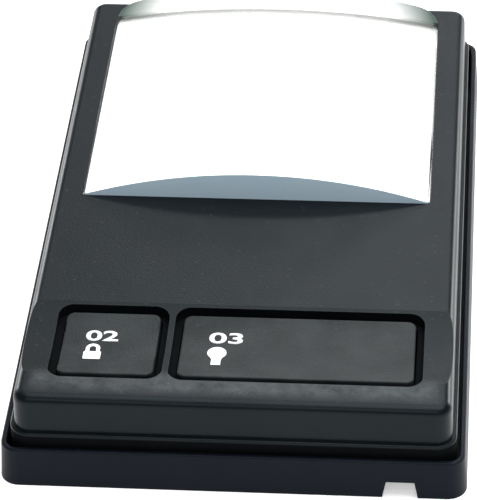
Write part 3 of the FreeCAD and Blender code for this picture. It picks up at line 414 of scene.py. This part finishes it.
def moulded_plastic(
    name, colour, other, top_roughness, side_roughness, grain_depth, grain_size=0.28, dust=0.0, wear=0.3,
    level=0.2, tint=rgb(0.86, 0.97, 1.0), patch=26.0, shade=(), paler_zone=None
):
    """Moulded plastic: grained where it faces up, smoother on its walls, paler on its edges where they are
    worn and where a highlight is painted.

    The paler zone is made paler in patches and given more dust specks, and shade lists the zones that lie in
    deep gaps.
    """
    material, tree, shader = new_material(name, Specular_IOR_Level=level, Specular_Tint=tint)
    tone = drifting(tree, colour, other, patch, PLASTIC_SPECKLE)
    rubbed_or_lit = place_group(tree, edge_wear_and_highlight, Width=WEAR_WIDTH, Amount=wear)["Mask"]
    # Paler edges: partly worn, partly a painted highlight.
    tone = mix_colour(tree, rubbed_or_lit, tone, WEAR_AND_HIGHLIGHT_COLOUR)
    if paler_zone:
        paled = place_group(tree, zone, **paler_zone)["Mask"]
        dust = ramp(tree, paled, 0.0, 1.0, dust, PALER_ZONE_DUST)
    tone = place_group(tree, settled_dust, Color=tone, Amount=dust, Spacing=DUST_SPACING,
                       Speck_Size=DUST_SPECK)["Color"]
    if paler_zone:
        # The front zone in front of the keys is made paler in patches.
        patchy = ramp(tree, noise(tree, PALER_PATCH_SCALE, 6.0, 0.7), *PALER_PATCH_RANGE)
        tone = mix_colour(tree, product(tree, paled, patchy), tone, PALER_COLOUR)
    upward = ramp(tree, facing(tree), *LEVEL_FACING)
    roughness = ramp(tree, upward, 0.0, 1.0, side_roughness, top_roughness)
    grain = place_group(tree, fine_grain, Grain_Size=grain_size, Roughness=roughness,
                        Gloss_Drift=PLASTIC_GLOSS_DRIFT)
    roughness = grain["Roughness"]
    if shade:
        masks = [place_group(tree, zone, **limits)["Mask"] for limits in shade]
        deep = masks[0]
        for mask in masks[1:]:
            deep = calc(tree, "MAXIMUM", deep, mask)
        tone = mix_colour(tree, deep, tone, SHADE_COLOUR)
        roughness = mix_value(tree, deep, roughness, 1.0)
    relief = product(tree, grain["Height"], ramp(tree, upward, 0.0, 1.0, WALL_GRAIN, 1.0))
    normal = add_bump(tree, relief, PLASTIC_RELIEF, grain_depth)
    put(tree, shader, {"Base Color": tone, "Roughness": roughness, "Normal": normal})
    return material


def cut_metal(name, colour, other, roughness, along, line_depth=0.01):
    """Bare metal with drawn or brushed lines along one direction."""
    material, tree, shader = new_material(name, Metallic=1.0)
    tone = drifting(tree, colour, other, METAL_PATCH, METAL_SPECKLE)
    rubbed_or_lit = place_group(tree, edge_wear_and_highlight, Width=METAL_WEAR_WIDTH, Amount=METAL_WEAR)["Mask"]
    stretch = [DRAWN_STRETCH if axis == along else 1.0 for axis in "XYZ"]
    drawn = add_node(tree, "Mapping", {"Vector": own_place(tree), "Scale": stretch})["Vector"]
    lines = noise(tree, DRAWN_SCALE, 3.0, place=drawn)
    put(tree, shader, {
        "Base Color": mix_colour(tree, rubbed_or_lit, tone, METAL_EDGE_COLOUR),
        "Roughness": ramp(tree, lines, 0.0, 1.0, *(roughness * share for share in DRAWN_GLOSS)),
        "Normal": add_bump(tree, lines, METAL_RELIEF, line_depth),
    })
    return material


def clear_plastic(name, tint, roughness):
    """Clear acrylic or glass. Lamps light what lies under it."""
    material, tree, shader = new_material(
        name, Base_Color=tint, Roughness=roughness, IOR=ACRYLIC_INDEX, Transmission_Weight=1.0
    )
    shadow = add_node(tree, "LightPath")["Is Shadow Ray"]
    open_way = add_node(tree, "BsdfTransparent", {"Color": tint})["BSDF"]
    mixed = add_node(tree, "MixShader", {0: shadow, 1: shader.outputs["BSDF"], 2: open_way})["Shader"]
    put(tree, tree.nodes["Material Output"], {"Surface": mixed})
    return material


def coat(tree, shader, tone, grain_size, roughness, gloss_drift, strength, grain_depth):
    """Gives a shader its tone and a very fine grain all over."""
    grain = place_group(tree, fine_grain, Grain_Size=grain_size, Roughness=roughness, Gloss_Drift=gloss_drift)
    normal = add_bump(tree, grain["Height"], strength, grain_depth)
    put(tree, shader, {"Base Color": tone, "Roughness": grain["Roughness"], "Normal": normal})


# ---------------------------------------------------------------- places on the cover, in millimetres
POCKET_REACH = 2.6
POCKET_SHADE_DEPTH = 1.25
POCKET_SOFTNESS = 0.5
SKIRT_HEIGHT = 7.7
SKIRT_MARGIN = 1
SKIRT_SOFTNESS = 0.35
PALER_ZONE_REACH = 5.4
PALER_ZONE_SOFTNESS = 2.5

lock_low, lock_high = (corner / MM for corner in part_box("lock_key"))
light_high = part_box("light_key")[1] / MM
cover_low, cover_high = (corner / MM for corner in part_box("top_cover"))

pocket_shade = {
    "Left": lock_low.x - POCKET_REACH,
    "Right": light_high.x + POCKET_REACH,
    "Near": lock_low.y - POCKET_REACH,
    "Far": lock_high.y + POCKET_REACH,
    "Top": cover_high.z - POCKET_SHADE_DEPTH,
    "Softness": POCKET_SOFTNESS,
}
skirt_shade = {
    "Left": cover_low.x - SKIRT_MARGIN,
    "Right": cover_high.x + SKIRT_MARGIN,
    "Near": cover_low.y - SKIRT_MARGIN,
    "Far": cover_high.y + SKIRT_MARGIN,
    "Top": cover_low.z + SKIRT_HEIGHT,
    "Softness": SKIRT_SOFTNESS,
}
front_paler_zone = {
    "Left": lock_low.x - PALER_ZONE_REACH,
    "Right": light_high.x + PALER_ZONE_REACH,
    "Near": lock_low.y - PALER_ZONE_REACH,
    "Far": lock_low.y + POCKET_REACH,
    "Top": cover_high.z + PALER_ZONE_SOFTNESS,
    "Softness": PALER_ZONE_SOFTNESS,
}


# ---------------------------------------------------------------- finishes
CELL_BAND = 11.0 * MM
CELL_BAND_FADE = 0.1 * MM
CELL_BAND_COLOUR = rgb(0.55, 0.54, 0.5)
# Painted light on the lens's far rim: a painted glow in the middle that fades to painted dark green shade at
# the corners.
FAR_RIM_PAINTED_LIGHT_REACH = 21 * MM
FAR_RIM_PAINTED_SHADE_REACH = 36 * MM
FAR_RIM_PAINTED_SHADE_COLOUR = rgb(0.05, 0.085, 0.065)


def make_cell_jacket():
    """Plain two-colour metal jacket: a dark body with a bright band at the nub's end."""
    material, tree, shader = new_material("cell_jacket", Metallic=0.55)
    tone = drifting(tree, rgb(0.02, 0.05, 0.11), rgb(0.03, 0.065, 0.13), 14.0, 0.1)
    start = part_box("battery_cells")[1].x - CELL_BAND
    band = ramp(tree, own_axes(tree)["X"], start, start + CELL_BAND_FADE)
    tone = mix_colour(tree, band, tone, CELL_BAND_COLOUR)
    coat(tree, shader, tone, grain_size=0.5, roughness=0.3, gloss_drift=0.15, strength=0.4, grain_depth=0.006)
    return material


def make_legend_ink():
    """White pad-printed ink, very slightly worn."""
    material, tree, shader = new_material("legend_ink", Specular_IOR_Level=0.4)
    tone = drifting(tree, rgb(0.86, 0.87, 0.88), rgb(0.95, 0.96, 0.97), 3.0, 0.12)
    coat(tree, shader, tone, grain_size=0.2, roughness=0.5, gloss_drift=0.1, strength=0.4, grain_depth=0.006)
    return material


def make_lens_edge_painted_light():
    """Satin side faces of the lens in a painted pale grey-blue, which stands in for the light and shade seen
    in the clear edge; they are lit through the lens.
    """
    material, tree, shader = new_material("lens_edge_painted_light", Specular_IOR_Level=0.5)
    tone = drifting(tree, rgb(0.575, 0.765, 0.895), rgb(0.62, 0.785, 0.905), 22.0, 0.03)
    coat(tree, shader, tone, grain_size=0.4, roughness=0.35, gloss_drift=0.1, strength=0.2, grain_depth=0.004)
    return material


def make_lens_far_painted_light():
    """Far rim of the lens with painted light: a painted glow, bright in the middle, that fades to painted
    dark green shade towards the corners.
    """
    material, tree, shader = new_material(
        "lens_far_painted_light", Specular_IOR_Level=0.5, Roughness=0.3, Emission_Strength=0.45
    )
    aside = calc(tree, "ABSOLUTE", own_axes(tree)["X"])
    corner = ramp(tree, aside, FAR_RIM_PAINTED_LIGHT_REACH, FAR_RIM_PAINTED_SHADE_REACH, shape="SMOOTHSTEP")
    tone = drifting(tree, rgb(0.93, 0.94, 0.93), rgb(0.95, 0.95, 0.94), 9.0, 0.0)
    painted_rim = mix_colour(tree, corner, tone, FAR_RIM_PAINTED_SHADE_COLOUR)
    # Painted light: the far rim glows in its own painted colour, though it is no lamp.
    put(tree, shader, {"Base Color": painted_rim, "Emission Color": painted_rim})
    return material


legend_ink = make_legend_ink()
lens_edge_painted_light = make_lens_edge_painted_light()
lens_far_painted_light = make_lens_far_painted_light()

# Two colours that drift into each other, then the roughness on top and on walls and the grain's depth in
# millimetres; a metal has one roughness and the direction of its drawn lines.
finishes = {
    # The base's strong edge paling paints pale highlight lines along its rims.
    "base_plastic": moulded_plastic(
        "base_black", rgb(0.002, 0.003, 0.0058), rgb(0.0034, 0.0045, 0.0082), 0.42, 0.44, 0.03,
        dust=0.04, wear=0.7, level=0.11, tint=rgb(0.72, 0.85, 1.0)),
    "cover_plastic": moulded_plastic(
        "cover_black", rgb(0.002, 0.0034, 0.004), rgb(0.0044, 0.0058, 0.007), 0.4, 0.3, 0.08,
        grain_size=0.4, dust=0.045, wear=0.3, level=0.155, tint=rgb(0.74, 0.91, 1.0),
        shade=(pocket_shade, skirt_shade), paler_zone=front_paler_zone),
    "key_plastic": moulded_plastic(
        "key_black", rgb(0.0082, 0.0106, 0.0118), rgb(0.0225, 0.0264, 0.0282), 0.38, 0.55, 0.075,
        grain_size=0.45, dust=0.03, wear=0.05, level=0.15, tint=rgb(0.88, 0.98, 1.0), patch=8.0),
    "chassis_plastic": moulded_plastic(
        "chassis_black", rgb(0.013, 0.0135, 0.014), rgb(0.018, 0.0185, 0.019), 0.55, 0.5, 0.015),
    "latch_plastic": moulded_plastic(
        "latch_grey", rgb(0.16, 0.165, 0.17), rgb(0.19, 0.19, 0.19), 0.42, 0.38, 0.01),
    "socket_plastic": moulded_plastic(
        "socket_white", rgb(0.66, 0.65, 0.6), rgb(0.72, 0.71, 0.67), 0.4, 0.36, 0.01, wear=0.0),
    "pad_rubber": moulded_plastic(
        "pad_rubber", rgb(0.022, 0.022, 0.024), rgb(0.03, 0.03, 0.031), 0.75, 0.7, 0.03, wear=0.1),
    "dome_rubber": moulded_plastic(
        "dome_rubber", rgb(0.33, 0.34, 0.35), rgb(0.4, 0.41, 0.42), 0.62, 0.6, 0.01, wear=0.1),
    "wire_cover": moulded_plastic(
        "wire_cover", rgb(0.35, 0.02, 0.02), rgb(0.42, 0.03, 0.025), 0.4, 0.38, 0.006, wear=0.0),
    "board_laminate": moulded_plastic(
        "board_laminate", rgb(0.02, 0.12, 0.05), rgb(0.03, 0.16, 0.07), 0.3, 0.45, 0.006, wear=0.2),
    "well_white": moulded_plastic(
        "well_white", rgb(0.88, 0.88, 0.87), rgb(0.9, 0.9, 0.89), 0.45, 0.42, 0.008, wear=0.0),
    "arm_steel": cut_metal("arm_steel", rgb(0.32, 0.33, 0.34), rgb(0.4, 0.4, 0.4), 0.34, "Y"),
    "pin_steel": cut_metal("pin_steel", rgb(0.4, 0.4, 0.4), rgb(0.48, 0.48, 0.47), 0.26, "X"),
    "spring_steel": cut_metal("spring_steel", rgb(0.42, 0.42, 0.43), rgb(0.52, 0.52, 0.52), 0.26, "X"),
    "contact_brass": cut_metal("contact_brass", rgb(0.72, 0.5, 0.22), rgb(0.8, 0.6, 0.3), 0.26, "Y"),
    "bright_reflector": cut_metal(
        "bright_reflector", rgb(0.86, 0.86, 0.87), rgb(0.9, 0.9, 0.9), 0.12, "X", line_depth=0.003),
    "clear_acrylic": clear_plastic("clear_acrylic", rgb(0.985, 0.99, 0.985), 0.0),
    "window_acrylic": clear_plastic("window_acrylic", rgb(0.97, 0.97, 0.96), 0.12),
    "bulb_glass": clear_plastic("bulb_glass", rgb(0.98, 0.98, 0.98), 0.0),
    "cell_jacket": make_cell_jacket(),
}

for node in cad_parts.values():
    for slot in node.material_slots:
        slot.material = finishes[slot.material.name.split(".")[0]]

# ---------------------------------------------------------------- lens
LENS_RADIUS = 110.0 * MM
LENS_BELLY_RADIUS = 600.0 * MM
LENS_INSET = 1.05 * MM
LENS_FLANGE = 1.3 * MM
LENS_SEAT = 0.1 * MM
LENS_FAR_CORNER = 4.5 * MM
LENS_NEAR_CORNER = 1.0 * MM
LENS_STEPS = 1080
LENS_LAP = 0.2 * MM
FLANGE_BACK = 0.02 * MM
EDGE_REACH = 0.1 * MM
UPRIGHT_LENGTH = 1 * MM
PAST = 1 * MM
ROD_PAST = 4 * MM
FAR_CORNER_STEPS = 24
NEAR_CORNER_STEPS = 8
LENS_SMOOTH_ANGLE = 12
FACES_UP = 0.5
FACES_NEAR = -0.6
FACES_FAR = 0.3


def lens_outline(name, low, high, inset):
    """A block with the lens's rounded far corners and nearly square near corners."""
    near_left = (low[0] + inset, low[1] + inset, low[2])
    far_right = (high[0] - inset, high[1] - inset, high[2])
    piece = add_block(name, near_left, far_right)
    halfway = 0.5 * (low[1] + high[1])
    near_face = low[1] + inset + EDGE_REACH

    def upright(a, b):
        return abs(a.z - b.z) > UPRIGHT_LENGTH

    round_edges(piece, lambda a, b: upright(a, b) and a.y > halfway, LENS_FAR_CORNER - inset,
                FAR_CORNER_STEPS)
    round_edges(piece, lambda a, b: upright(a, b) and a.y < near_face, LENS_NEAR_CORNER, NEAR_CORNER_STEPS)
    return piece


def paint_lens(piece, rim, flange_high):
    """Clear plastic, with painted light on the near faces and the far rim: a painted tone and a painted glow
    that stand in for how they look from above.
    """
    piece.data.materials.clear()
    for material in (finishes["clear_acrylic"], lens_edge_painted_light, lens_far_painted_light):
        piece.data.materials.append(material)
    for face in piece.data.polygons:
        if face.normal.z >= FACES_UP:
            continue
        if face.normal.y < FACES_NEAR:
            face.material_index = 1
        elif face.center.y > rim and (face.normal.y > FACES_FAR or face.center.z < flange_high):
            face.material_index = 2


def make_lens():
    """The lens: a round crown, a nearly flat belly and the flange that it is held by."""
    low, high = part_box("lens")
    half = high.x - LENS_FLANGE
    middle_y = (low.y + high.y) / 2
    flange_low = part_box("lens_retainer")[1].z + LENS_SEAT
    flange_high = flange_low + LENS_FLANGE
    piece = lens_outline("lens_clear", (-half, low.y, flange_low), (half, high.y, high.z + PAST), 0.0)
    crown = add_rod("crown", (0, middle_y, high.z - LENS_RADIUS), (0, 1, 0), LENS_RADIUS,
                    high.y - low.y + ROD_PAST, LENS_STEPS)
    combine(piece, crown, "INTERSECT")
    lower = lens_outline("belly", (-half, low.y, low.z - PAST), (half, high.y, flange_low + LENS_LAP),
                         LENS_INSET)
    round_belly = add_rod("round_belly", (0, middle_y, low.z + LENS_BELLY_RADIUS), (1, 0, 0),
                          LENS_BELLY_RADIUS, 2 * half + ROD_PAST, 2 * LENS_STEPS)
    combine(lower, round_belly, "INTERSECT")
    combine(piece, lower, "UNION")
    flange = add_block("flange", (low.x, low.y + FLANGE_BACK, flange_low),
                       (high.x, high.y - LENS_FAR_CORNER, flange_high))
    combine(piece, flange, "UNION")
    paint_lens(piece, high.y - 2 * LENS_FLANGE, flange_high)
    smooth(piece, LENS_SMOOTH_ANGLE)
    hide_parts("lens")
    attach(piece, "housing")


make_lens()

# ---------------------------------------------------------------- spring under the lock key
WELD = 0.001 * MM


def make_lock_spring():
    """The lock key's coil spring as one welded, smoothed mesh of its own, carried by the housing."""
    spring = bpy.data.objects.new("lock_spring_coil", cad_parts["lock_key_spring"].data.copy())
    bpy.context.scene.collection.objects.link(spring)
    only(spring)
    bpy.ops.object.mode_set(mode="EDIT")
    bpy.ops.mesh.select_all(action="SELECT")
    bpy.ops.mesh.remove_doubles(threshold=WELD)
    bpy.ops.object.mode_set(mode="OBJECT")
    smooth(spring)
    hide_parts("lock_key_spring")
    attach(spring, "housing")
    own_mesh(spring)


make_lock_spring()

# ---------------------------------------------------------------- legends on the keys
# Each key is a node and a body of the same name, and places are from its near left corner. The radius, bar,
# waist, neck and taper are shares of a sign's width or of its bulb's radius.
INK_LIFT = 0.03 * MM
INK_THICKNESS = 0.04 * MM
INK_START = 1 * MM
NUMERAL_BOLDNESS = 0.022
NUMERAL_STEPS = 6
SHACKLE_SIDES = 64
SHACKLE_RADIUS = 0.41
SHACKLE_BAR = 0.22
SHACKLE_LAP = 0.05 * MM
PADLOCK_CORNER = 0.25 * MM
PADLOCK_CORNER_STEPS = 5
BULB_SIDES = 72
BULB_WAIST = 0.72
BULB_NECK = 0.42
BULB_TAPER = 0.78
EDGE_SLACK = 0.001 * MM


def on_key(key, across, along):
    """A point just above a key's top."""
    low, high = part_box(key)
    return low.x + across, low.y + along, high.z + INK_START


def lay_on_key(piece, key):
    """Drops a flat legend on the key's dished top and gives it the ink's thickness."""
    apply_modifier(
        piece, "SHRINKWRAP", target=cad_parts[key], wrap_method="PROJECT", use_project_z=True,
        use_negative_direction=True, use_positive_direction=False, offset=INK_LIFT)
    apply_modifier(piece, "SOLIDIFY", thickness=INK_THICKNESS, offset=-1)
    piece.data.materials.clear()
    piece.data.materials.append(legend_ink)
    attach(piece, key)


def pull_edges(piece, wanted, drop):
    """Extrudes the wanted edges towards the near side of the key."""
    select_edges(piece, wanted)
    bpy.ops.mesh.extrude_region_move(TRANSFORM_OT_translate={"value": (0, -drop, 0)})


def cut_below(x, y, z):
    """Keeps what lies beyond y of the mesh in edit mode."""
    bpy.ops.mesh.select_all(action="SELECT")
    bpy.ops.mesh.bisect(plane_co=(x, y, z), plane_no=(0, -1, 0), clear_outer=True)


def add_numerals(name, words, key, left, bottom, width, height):
    nothing_selected()
    bpy.ops.object.text_add(location=(0, 0, 0))
    text = named(name)
    text.data.body = words
    text.data.size = 1.0
    text.data.offset = NUMERAL_BOLDNESS
    text.data.resolution_u = NUMERAL_STEPS
    bpy.context.view_layer.update()
    bpy.ops.object.convert(target="MESH")
    piece = named(name)
    xs = [point.co.x for point in piece.data.vertices]
    ys = [point.co.y for point in piece.data.vertices]
    wider = width / (max(xs) - min(xs))
    taller = height / (max(ys) - min(ys))
    x, y, z = on_key(key, left, bottom)
    piece.scale = (wider, taller, 1)
    piece.location = (x - min(xs) * wider, y - min(ys) * taller, z)
    bake_place(piece)
    lay_on_key(piece, key)


def add_padlock(name, key, left, bottom, width, shoulder, height):
    """Padlock sign: a plain body up to its shoulder, with a bent shackle."""
    x, y, z = on_key(key, left + width / 2, bottom)
    outer = SHACKLE_RADIUS * width
    bar = SHACKLE_BAR * width
    bend = y + height - outer
    piece = add_disc(name, (x, bend, z), outer, SHACKLE_SIDES)
    bpy.ops.object.mode_set(mode="EDIT")
    bpy.ops.mesh.select_all(action="SELECT")
    bpy.ops.mesh.inset(thickness=bar)
    bpy.ops.mesh.delete(type="FACE")
    cut_below(x, bend, z)
    pull_edges(piece, lambda a, b: max(a.y, b.y) < bend + EDGE_SLACK and abs(a.x - b.x) > 0.5 * bar,
               bend - (y + shoulder) + SHACKLE_LAP)
    bpy.ops.object.mode_set(mode="OBJECT")
    nothing_selected()
    bpy.ops.mesh.primitive_plane_add(size=1, location=(x, y + shoulder / 2, z))
    block = named(name + "_block")
    block.scale = (width, shoulder, 1)
    bake_place(block)
    bpy.ops.object.mode_set(mode="EDIT")
    bpy.ops.mesh.select_all(action="SELECT")
    bpy.ops.mesh.bevel(offset=PADLOCK_CORNER, segments=PADLOCK_CORNER_STEPS, affect="VERTICES")
    bpy.ops.object.mode_set(mode="OBJECT")
    block.select_set(True)
    piece.select_set(True)
    bpy.context.view_layer.objects.active = piece
    bpy.ops.object.join()
    lay_on_key(piece, key)


def add_bulb_sign(name, key, left, bottom, width, height):
    """Lamp sign: a round bulb that narrows to its cap."""
    radius = width / 2
    x, y, z = on_key(key, left + radius, bottom)
    centre = y + height - radius
    waist = centre - BULB_WAIST * radius
    neck = BULB_NECK * radius
    piece = add_disc(name, (x, centre, z), radius, BULB_SIDES)
    bpy.ops.object.mode_set(mode="EDIT")
    cut_below(x, waist, z)
    pull_edges(piece, lambda a, b: max(a.y, b.y) < waist + EDGE_SLACK and abs(a.x - b.x) > radius, neck)
    bpy.ops.transform.resize(value=(BULB_TAPER, 1, 1), center_override=(x, waist, z))
    bpy.ops.mesh.extrude_region_move(TRANSFORM_OT_translate={"value": (0, y - (waist - neck), 0)})
    bpy.ops.object.mode_set(mode="OBJECT")
    lay_on_key(piece, key)


add_numerals("lock_number", "02", "lock_key", left=4.4 * MM, bottom=12.15 * MM, width=6.4 * MM,
             height=3.1 * MM)
add_padlock("lock_sign", "lock_key", left=4.5 * MM, bottom=6.35 * MM, width=3.4 * MM, shoulder=2.5 * MM,
            height=4.9 * MM)
add_numerals("light_number", "03", "light_key", left=5.3 * MM, bottom=12.45 * MM, width=6.6 * MM,
             height=3.2 * MM)
add_bulb_sign("light_sign", "light_key", left=5.3 * MM, bottom=5.65 * MM, width=3.7 * MM, height=5.7 * MM)

# ---------------------------------------------------------------- studio
FLOOR_SIZE = 8
FLOOR_DROP = 0.05 * MM
FLOOR_GLOW = 0.42
ROOM_LIGHT = 0.28
BACKDROP_PANELS = 6
BACKDROP_PLACE = (0.018, 0.69, 0.65)
BACKDROP_WIDTH = 0.5
BACKDROP_HEIGHT = 0.4
BACKDROP_POWER = 3.05


def make_floor():
    nothing_selected()
    bpy.ops.mesh.primitive_plane_add(size=FLOOR_SIZE, location=(0, 0, -FLOOR_DROP))
    floor = named("floor")
    material, tree, shader = new_material(
        "floor_white", Roughness=0.9, Specular_IOR_Level=0.1, Emission_Color=rgb(1, 1, 1),
        Emission_Strength=FLOOR_GLOW)
    put(tree, shader, {"Base Color": drifting(tree, rgb(0.9, 0.9, 0.9), rgb(0.92, 0.92, 0.92), 300.0, 0.0)})
    floor.data.materials.append(material)


def add_softbox(name, place, width, height, power):
    """A rectangular lamp that faces the object and isn't seen itself."""
    nothing_selected()
    bpy.ops.object.light_add(type="AREA", location=place)
    lamp = bpy.context.object
    lamp.name = name
    lamp.data.shape = "RECTANGLE"
    lamp.data.size = width
    lamp.data.size_y = height
    lamp.data.energy = power
    lamp.visible_camera = False
    lamp.visible_transmission = False
    lamp.rotation_euler = (-Vector(place)).to_track_quat("-Z", "Y").to_euler()


def add_backdrop():
    """Nested lamps in one place, brightest in the middle, so that their reflection has soft edges."""
    for panel in range(BACKDROP_PANELS):
        share = (panel + 1) / BACKDROP_PANELS
        add_softbox("backdrop_%d" % panel, BACKDROP_PLACE, BACKDROP_WIDTH * share, BACKDROP_HEIGHT * share,
                    BACKDROP_POWER / BACKDROP_PANELS)


def make_world():
    world = bpy.data.worlds.new("studio")
    world.use_nodes = True
    put(world.node_tree, world.node_tree.nodes["Background"], {"Color": rgb(1, 1, 1), "Strength": ROOM_LIGHT})
    bpy.context.scene.world = world


def make_camera():
    nothing_selected()
    bpy.ops.object.camera_add(location=CAMERA_PLACE)
    camera = bpy.context.object
    sight = (Vector(CAMERA_AIM) - Vector(CAMERA_PLACE)).to_track_quat("-Z", "Y").to_matrix().to_4x4()
    camera.rotation_euler = (sight @ Matrix.Rotation(CAMERA_ROLL, 4, "Z")).to_euler()
    camera.data.lens = CAMERA_LENS
    camera.data.sensor_width = CAMERA_SENSOR
    camera.data.clip_start, camera.data.clip_end = CAMERA_REACH
    bpy.context.scene.camera = camera


make_floor()
make_world()
add_softbox("overhead", (0.18, 0.05, 1.0), width=1.1, height=0.9, power=14)
add_backdrop()
add_softbox("backdrop_low", (0.1, 0.92, 0.3), width=0.5, height=0.2, power=1.0)
add_softbox("right_strip", (0.75, 0.8, 0.2), width=0.3, height=0.36, power=4)
add_softbox("left_strip", (-0.75, 0.8, 0.2), width=0.3, height=0.36, power=4)
add_softbox("front_fill", (0.0, -1.3, 1.0), width=1.0, height=0.6, power=4.2)
make_camera()

bpy.context.scene.view_settings.view_transform = "Standard"
bpy.context.scene.view_settings.exposure = 0.0
